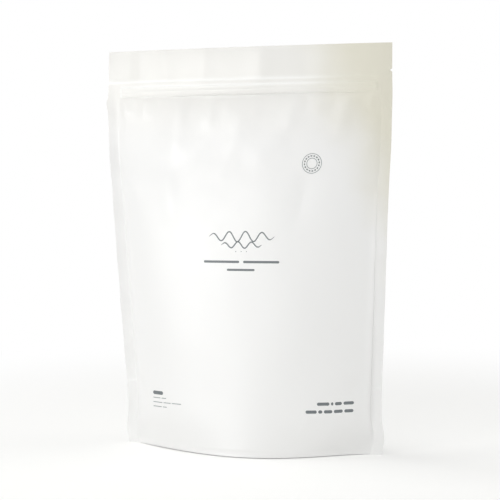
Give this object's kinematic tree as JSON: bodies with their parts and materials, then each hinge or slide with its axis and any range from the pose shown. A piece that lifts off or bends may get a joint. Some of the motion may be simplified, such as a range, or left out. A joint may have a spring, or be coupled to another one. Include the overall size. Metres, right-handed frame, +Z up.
{
  "type": "laundry powder refill bag",
  "caption": "Sealed stand-up film pouch filled with washing powder: bowed panels, flat header with a press-to-close zip and tear notch, folded gusset base.",
  "frame": {"origin": "centre of the base on the floor, midway across the width and the depth", "axes": "+Z up, +X to the right along the width, front panel faces -Y"},
  "size_m": [0.2812, 0.09, 0.381],
  "materials": {
    "white_film": "white laminated film with a satin sheen"
  },
  "bodies": {
    "root": {"refill_pouch": "white_film"}
  },
  "joints": []
}
